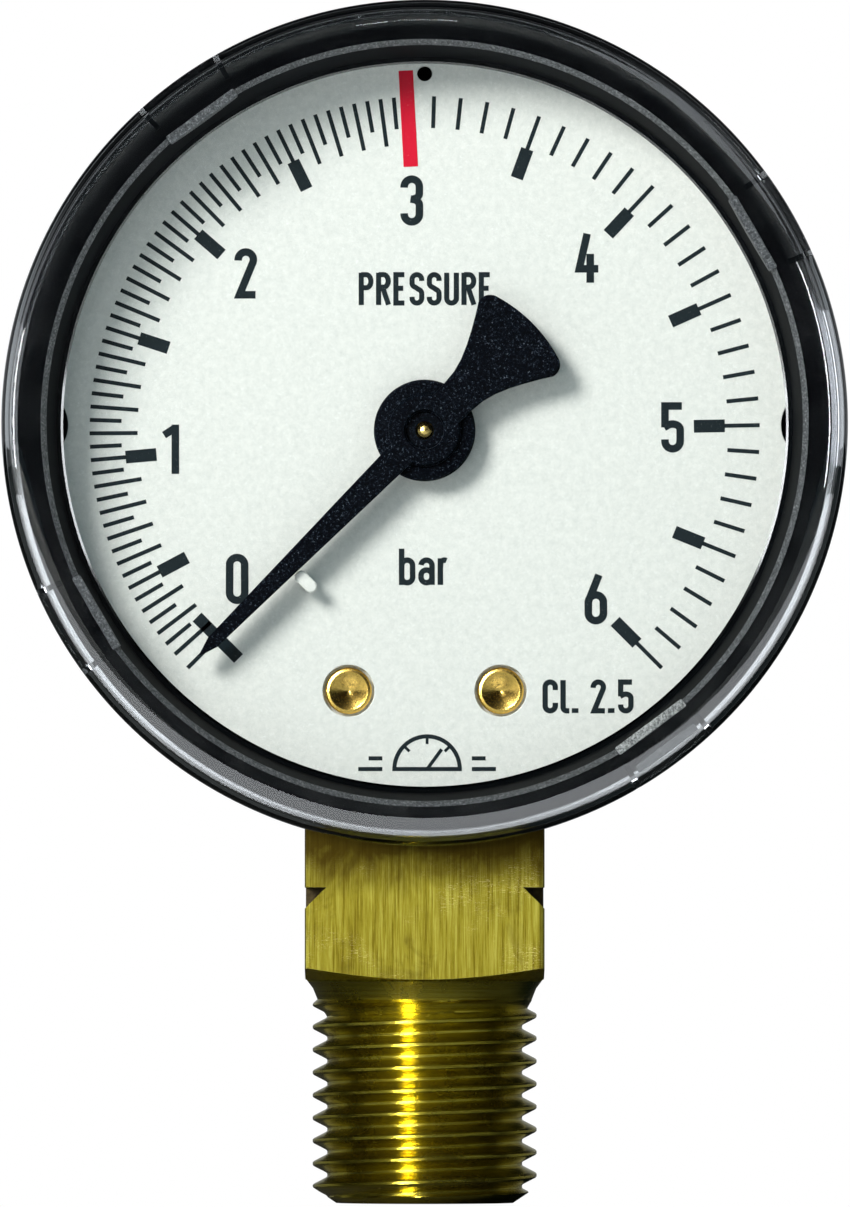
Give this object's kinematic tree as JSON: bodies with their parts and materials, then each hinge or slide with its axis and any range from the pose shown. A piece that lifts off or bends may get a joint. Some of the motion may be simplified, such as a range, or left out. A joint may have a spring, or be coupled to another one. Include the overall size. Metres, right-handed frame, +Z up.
{
  "type": "pressure gauge",
  "caption": "Round dial pressure gauge with a clear window, a Bourdon tube movement and a threaded brass stem at the bottom.",
  "frame": {"origin": "centre of the lower end face of the threaded stem", "axes": "+Z up the stem, the dial faces -Y, +X to the right as seen from the front; the pointer turns about a line along Y, 45 mm above the origin"},
  "size_m": [0.049, 0.0275, 0.0698],
  "materials": {
    "stem_brass": "drawn and turned",
    "case_plastic": "gloss",
    "window_clear": "clear moulded",
    "dial_white": "satin white",
    "rivet_brass": "turned",
    "pointer_black": "fine grained black",
    "movement_brass": "stamped and brushed",
    "movement_steel": "turned",
    "tube_bronze": "drawn",
    "spring_steel": "polished strip",
    "screw_steel": "zinc plated"
  },
  "bodies": {
    "gauge_body": {"stem": "stem_brass", "case": "case_plastic", "window": "window_clear", "dial": "dial_white", "dial_rivets": "rivet_brass", "bourdon_tube": "tube_bronze", "movement_back_plate": "movement_brass", "movement_front_plate": "movement_brass", "plate_pillars": "movement_brass", "plate_screws": "movement_steel", "movement_screws": "movement_steel", "hairspring": "spring_steel", "hairspring_stud": "movement_steel", "case_screws": "screw_steel"},
    "pointer_shaft": {"pointer": "pointer_black", "pinion_shaft": "movement_brass", "hairspring_collet": "movement_brass"},
    "sector": {"sector_gear": "movement_brass", "sector_arbor": "movement_steel", "link_pin": "movement_steel"},
    "tip": {"tube_tip": "movement_brass", "tip_pin": "movement_steel"},
    "drag_link": {"link": "movement_brass"}
  },
  "joints": [
    {"name": "pointer_turn", "type": "hinge", "parent": "gauge_body", "child": "pointer_shaft", "pos_m": [0, -0.01, 0.045], "axis": [0, 1, 0], "range_deg": [0, 270], "stiffness_Nm_per_rad": 0.000002, "deforming": ["hairspring"]},
    {"name": "sector_turn", "type": "hinge", "parent": "gauge_body", "child": "sector", "pos_m": [0.0059, -0.0062, 0.03572], "axis": [0, 1, 0], "range_deg": [-27, 0]},
    {"name": "tip_flex", "type": "hinge", "parent": "gauge_body", "child": "tip", "pos_m": [-0.00176, 0, 0.04978], "axis": [0, 1, 0], "range_deg": [-6, 0], "stiffness_Nm_per_rad": 0.005, "deforming": ["bourdon_tube"]},
    {"name": "link_swing", "type": "hinge", "parent": "tip", "child": "drag_link", "pos_m": [0.01264, -0.0053, 0.0377], "axis": [0, 1, 0], "range_deg": [0, 6]}
  ],
  "couplings": [
    {"joint": "sector_turn", "follows": "pointer_turn", "ratio": -0.1},
    {"joint": "tip_flex", "follows": "pointer_turn", "ratio": -0.022222},
    {"joint": "link_swing", "follows": "pointer_turn", "ratio": 0.022222}
  ]
}
